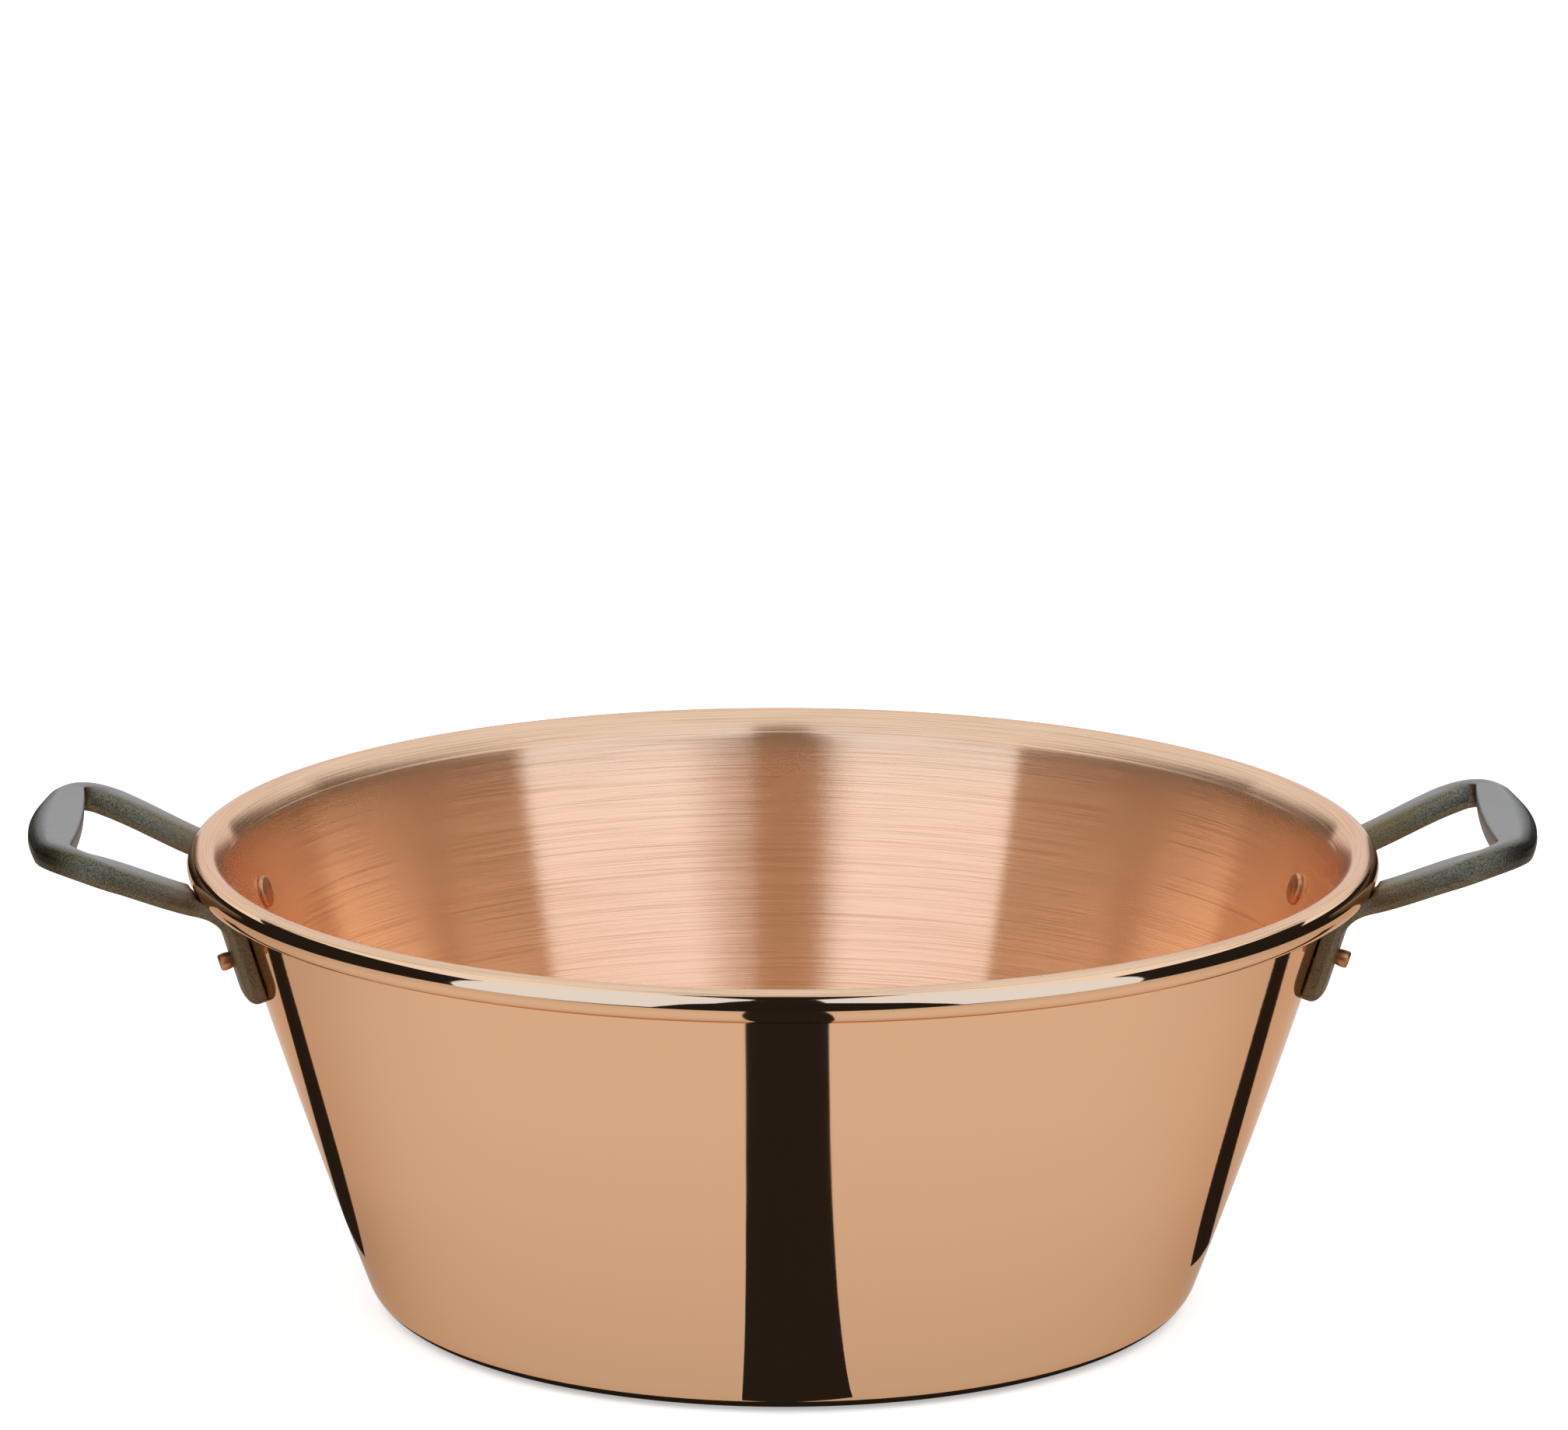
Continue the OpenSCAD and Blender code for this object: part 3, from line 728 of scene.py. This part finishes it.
def makeCard():
    # what the polished wall mirrors: the paper round the pan, dimmer under the wall, far off and at the sides
    rows, glow = [], []
    for r, g in card["rings"]:
        rows.append([])
        for j in range(card["points"]):
            turn = math.pi * j / (card["points"] / 2)
            c, s = math.cos(turn), math.sin(turn)
            far = r if s > -0.05 else min(r, card["front"] / -s)
            rows[-1].append((far * c, far * s, card["z"]))
            dip = card["dipRight"] if c > 0 else card["dipLeft"]
            dip *= card["dipNear"] if r < card["nearR"] else 1
            fromFront = abs(math.degrees(math.atan2(c, -s)))
            glow.append(g * (1 - dip * math.exp(-((fromFront - card["dipAt"]) / card["dipWide"]) ** 2)))
    panel("card", rows, glow, card["warm"], 1.0, closed=True)


def makeGap(name, points):
    # a dark slit between two sheets of card, its corners in millimetres
    half = len(points) // 2
    rows = [[(x * mm, y * mm, studio["slitZ"]) for x, y in (points[i], points[-1 - i])] for i in range(half)]
    panel(name, rows, [1] * half, studio["slitWarm"], studio["slitGlow"])


def makeBox(name, inner, outer, foot):
    # a soft box standing between two points of the floor plan, higher outwards; foot gives its lower edge.
    # its outer edge leans out as it rises, along the cone that the brushing spreads the light over
    rows = []
    for s in sorted({u for u, _ in foot} | {0.55, 0.7, 0.85}):
        rows.append([])
        low = np.interp(s, [u for u, _ in foot], [z for _, z in foot])
        for z in np.linspace(low, studio["boxTop"] + studio["boxSlope"] * s, 9):
            u = s * (1 + studio["boxLean"] * min(z, studio["leanTo"]) ** 2 * s)
            rows[-1].append((inner[0] + (outer[0] - inner[0]) * u, inner[1] + (outer[1] - inner[1]) * u, z))
    panel(name, rows, [1] * len(rows), studio["boxCool"], studio["boxGlow"])


def makeSweep():
    # a white ceiling low over the pan, behind it a backdrop that widens as it rises to meet it
    low, high, back = 0.6, 1.35, 1.5
    ceiling = [[(x, -0.24 - 0.2 * abs(x), low) for x in (-0.65, -0.3, 0, 0.3, 0.65)]]
    for half, y, z in ((0.65, 0.6, low), (1.5, back, high)):
        ceiling.append([(x * half, y, z) for x in (-1, -0.45, 0, 0.45, 1)])
    panel("ceiling", ceiling, (1, 1, 1), studio["cool"], studio["ceilingGlow"])
    outline = ((0.52, 0.01), (0.52, 0.45), (1.3, 0.75), (2.4, high))
    panel("backdrop", [[(-x, back, z), (x, back, z)] for x, z in outline],
          (1, 1, 1, 1), studio["cool"], studio["backdropGlow"])


def keyLight(name, place, target):
    # a square lamp that the metals don't mirror
    light = bpy.data.lights.new(name, "AREA")
    light.shape, light.size = "SQUARE", studio["keySize"]
    light.energy = math.pi * studio["keySize"] * studio["keySize"] * studio["keyGlow"]
    obj = bpy.data.objects.new(name, light)
    back = unit(np.array(place, float) - np.array(target, float))
    right = unit(np.cross([0, 0, 1.0], back))
    up = np.cross(back, right)
    obj.matrix_world = placed(right, up, back, place)
    obj.visible_camera = obj.visible_glossy = False
    scene.collection.objects.link(obj)


def makeLights():
    sun = bpy.data.lights.new("sky_fill", "SUN")
    sun.energy, sun.angle = studio["skyPower"], math.radians(studio["skyAngle"])
    obj = bpy.data.objects.new("sky_fill", sun)
    obj.visible_glossy = False
    scene.collection.objects.link(obj)
    # light that has bounced from copper to copper inside the pan
    bounce = bpy.data.lights.new("copper_bounce", "AREA")
    bounce.shape, bounce.size = "DISK", studio["bounceD"]
    bounce.energy, bounce.color = studio["bouncePower"], studio["bounceCopper"]
    obj = bpy.data.objects.new("copper_bounce", bounce)
    obj.location = (0, 0, studio["bounceZ"])
    obj.visible_camera = obj.visible_glossy = False
    scene.collection.objects.link(obj)
    for name, x in (("key_left", -1.1), ("key_right", 1.1)):
        keyLight(name, (x, -1.3, 1.5), (0, 0, 0.1))


def makeWorld():
    # white behind the pan for the camera, a dark warm room for everything else
    world = bpy.data.worlds.new("room")
    scene.world = world
    world.use_nodes = True
    tree = world.node_tree
    tree.nodes.clear()
    path = node(tree, "ShaderNodeLightPath")
    mix = node(tree, "ShaderNodeMix", {"Factor": path.outputs["Is Camera Ray"]}, data_type="RGBA",
               in_6=(0.02, 0.018, 0.016, 1), in_7=(1, 1, 1, 1))
    back = node(tree, "ShaderNodeBackground", {"Color": mix.outputs[2]})
    node(tree, "ShaderNodeOutputWorld", {"Surface": back.outputs[0]})


makeFloor()
makeCard()
makeGap("gap_front", [(-12.5, -130), (-30.6, -294), (-57, -562), (66, -562), (32.4, -240), (22.5, -130)])
makeGap("gap_left", [(-150, 70), (-272, 150), (-372, 222), (-388, 166), (-286, 98), (-150, 8)])
makeGap("gap_right", [(150, 34), (282, 121), (384, 190), (400, 142), (292, 75), (150, -8)])
makeBox("box_left", (-0.096, -0.82), (-0.65, -0.43),
        ((0, 0.95), (0.06, 0.75), (0.12, 0.475), (0.2, 0.34), (0.28, 0.12), (0.32, 0.01), (1, 0.01)))
makeBox("box_right", (0.112, -0.818), (0.752, -0.381),
        ((0, 0.62), (0.12, 0.5), (0.25, 0.34), (0.34, 0.16), (0.4, 0.01), (1, 0.01)))
makeSweep()
makeLights()
makeWorld()
scene.view_settings.view_transform = "Standard"
scene.view_settings.look = "None"
print("studio set")
